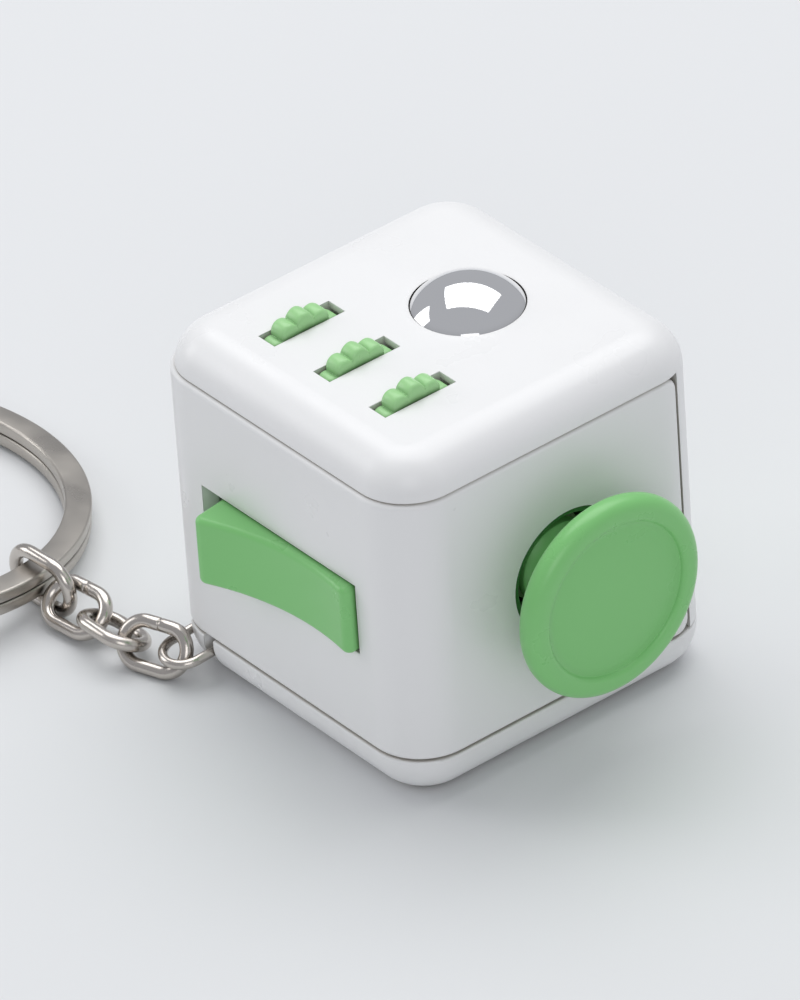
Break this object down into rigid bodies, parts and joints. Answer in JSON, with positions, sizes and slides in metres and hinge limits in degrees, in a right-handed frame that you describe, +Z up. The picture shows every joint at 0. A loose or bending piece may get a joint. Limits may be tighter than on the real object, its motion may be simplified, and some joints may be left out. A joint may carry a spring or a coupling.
{
  "type": "fidget cube key ring",
  "caption": "Hand-held cube toy with thumb wheels, rolling ball, joystick, rocker, push buttons and a turning dial, on a short chain with a split ring.",
  "frame": {"origin": "centre of the cube's flat underside", "axes": "+Z up through the wheel and ball face, +X through the joystick face, -Y through the rocker face"},
  "size_m": [0.0685, 0.048, 0.0269],
  "materials": {
    "white_shell": "satin moulded ABS",
    "green_plastic": "satin moulded ABS",
    "inner_plastic": "matt moulded ABS",
    "polished_steel": "mirror polished",
    "nickel_plate": "nickel plated",
    "spring_steel": "drawn wire and sheet"
  },
  "bodies": {
    "cube": {"wrap_shell": "white_shell", "cover_shell": "white_shell", "base_plate": "white_shell", "wheel_axle": "spring_steel", "wheel_spacers": "spring_steel", "axle_bracket": "inner_plastic", "wheel_click_spring": "spring_steel", "ball_guide": "inner_plastic", "joystick_socket": "green_plastic", "joystick_retainer": "inner_plastic", "joystick_spring_cup": "inner_plastic", "rocker_pin": "spring_steel", "rocker_frame": "inner_plastic", "rocker_click_spring": "spring_steel", "button_plate": "inner_plastic", "dial_cage": "inner_plastic", "dial_click_ball": "spring_steel", "dial_click_spring": "spring_steel", "module_screws": "spring_steel"},
    "ball_carrier": {"ball_seat": "inner_plastic", "ball_spring": "spring_steel"},
    "ball": {"roll_ball": "polished_steel"},
    "wheel_left": {"thumb_wheel_left": "green_plastic"},
    "wheel_middle": {"thumb_wheel_middle": "green_plastic"},
    "wheel_right": {"thumb_wheel_right": "green_plastic"},
    "gimbal": {"joystick_gimbal": "inner_plastic"},
    "joystick": {"joystick_stem": "green_plastic", "joystick_cap": "green_plastic", "joystick_spring": "spring_steel"},
    "rocker_paddle": {"rocker": "green_plastic"},
    "dial": {"spin_dial": "green_plastic", "dial_clip": "spring_steel"},
    "loop": {"key_loop": "nickel_plate"},
    "link_1": {"chain_link_1": "nickel_plate"},
    "link_2": {"chain_link_2": "nickel_plate"},
    "link_3": {"chain_link_3": "nickel_plate"},
    "link_4": {"chain_link_4": "nickel_plate"},
    "ring": {"split_ring": "nickel_plate"},
    "push_centre": {"button_centre": "green_plastic", "button_spring_centre": "spring_steel"},
    "push_upper_front": {"button_upper_front": "green_plastic", "button_spring_upper_front": "spring_steel"},
    "push_upper_rear": {"button_upper_rear": "green_plastic", "button_spring_upper_rear": "spring_steel"},
    "push_lower_front": {"button_lower_front": "green_plastic", "button_spring_lower_front": "spring_steel"},
    "push_lower_rear": {"button_lower_rear": "green_plastic", "button_spring_lower_rear": "spring_steel"}
  },
  "joints": [
    {"name": "ball_click", "type": "slide", "parent": "cube", "child": "ball_carrier", "axis": [0, 0, -1], "range_m": [0, 0.0004], "stiffness_N_per_m": 1500, "springref_m": -0.0002, "deforming": ["ball_spring"]},
    {"name": "ball_roll", "type": "hinge", "parent": "ball_carrier", "child": "ball", "pos_m": [0, 0.00362, 0.0222], "axis": [1, 0, 0], "continuous": true},
    {"name": "wheel_left_spin", "type": "hinge", "parent": "cube", "child": "wheel_left", "pos_m": [-0.00547, -0.0055, 0.0232], "axis": [1, 0, 0], "continuous": true},
    {"name": "wheel_middle_spin", "type": "hinge", "parent": "cube", "child": "wheel_middle", "pos_m": [0, -0.0055, 0.0232], "axis": [1, 0, 0], "continuous": true},
    {"name": "wheel_right_spin", "type": "hinge", "parent": "cube", "child": "wheel_right", "pos_m": [0.00547, -0.0055, 0.0232], "axis": [1, 0, 0], "continuous": true},
    {"name": "joystick_tilt_updown", "type": "hinge", "parent": "cube", "child": "gimbal", "pos_m": [0.0092, 0.00068, 0.0125], "axis": [0, 1, 0], "range_deg": [-12, 12], "stiffness_Nm_per_rad": 0.004, "deforming": ["joystick_spring"]},
    {"name": "joystick_tilt_side", "type": "hinge", "parent": "gimbal", "child": "joystick", "pos_m": [0.0092, 0.00068, 0.0125], "axis": [0, 0, 1], "range_deg": [-12, 12], "stiffness_Nm_per_rad": 0.004, "deforming": ["joystick_spring"]},
    {"name": "rocker_flip", "type": "hinge", "parent": "cube", "child": "rocker_paddle", "pos_m": [0, -0.0064, 0.0127], "axis": [0, 0, -1], "range_deg": [0, 16]},
    {"name": "dial_spin", "type": "hinge", "parent": "cube", "child": "dial", "pos_m": [0, 0.011, 0.0126], "axis": [0, 1, 0], "continuous": true},
    {"name": "push_centre", "type": "slide", "parent": "cube", "child": "push_centre", "axis": [1, 0, 0], "range_m": [0, 0.0009], "stiffness_N_per_m": 400, "springref_m": -0.0004, "deforming": ["button_spring_centre"]},
    {"name": "push_upper_front", "type": "slide", "parent": "cube", "child": "push_upper_front", "axis": [1, 0, 0], "range_m": [0, 0.0009], "stiffness_N_per_m": 400, "springref_m": -0.0004, "deforming": ["button_spring_upper_front"]},
    {"name": "push_upper_rear", "type": "slide", "parent": "cube", "child": "push_upper_rear", "axis": [1, 0, 0], "range_m": [0, 0.0009], "stiffness_N_per_m": 400, "springref_m": -0.0004, "deforming": ["button_spring_upper_rear"]},
    {"name": "push_lower_front", "type": "slide", "parent": "cube", "child": "push_lower_front", "axis": [1, 0, 0], "range_m": [0, 0.0009], "stiffness_N_per_m": 400, "springref_m": -0.0004, "deforming": ["button_spring_lower_front"]},
    {"name": "push_lower_rear", "type": "slide", "parent": "cube", "child": "push_lower_rear", "axis": [1, 0, 0], "range_m": [0, 0.0009], "stiffness_N_per_m": 400, "springref_m": -0.0004, "deforming": ["button_spring_lower_rear"]},
    {"name": "loop_swing", "type": "hinge", "parent": "cube", "child": "loop", "pos_m": [-0.0095, -0.01018, 0.0023], "axis": [0.9945, -0.1045, 0], "range_deg": [-12, 0]},
    {"name": "link_1_turn", "type": "hinge", "parent": "loop", "child": "link_1", "pos_m": [-0.00924, -0.01425, 0.00148], "axis": [0, 0, 1], "range_deg": [-8, 8]},
    {"name": "link_2_turn", "type": "hinge", "parent": "link_1", "child": "link_2", "pos_m": [-0.01315, -0.01541, 0.00144], "axis": [0, 0, 1], "range_deg": [-8, 8]},
    {"name": "link_3_turn", "type": "hinge", "parent": "link_2", "child": "link_3", "pos_m": [-0.01674, -0.01571, 0.0015], "axis": [0, 0, 1], "range_deg": [-8, 8]},
    {"name": "link_4_turn", "type": "hinge", "parent": "link_3", "child": "link_4", "pos_m": [-0.02058, -0.01563, 0.00086], "axis": [0, 0, 1], "range_deg": [-8, 8]},
    {"name": "ring_turn", "type": "hinge", "parent": "link_4", "child": "ring", "pos_m": [-0.02339, -0.01542, 0.00128], "axis": [0, 0, 1], "range_deg": [-8, 8]}
  ]
}
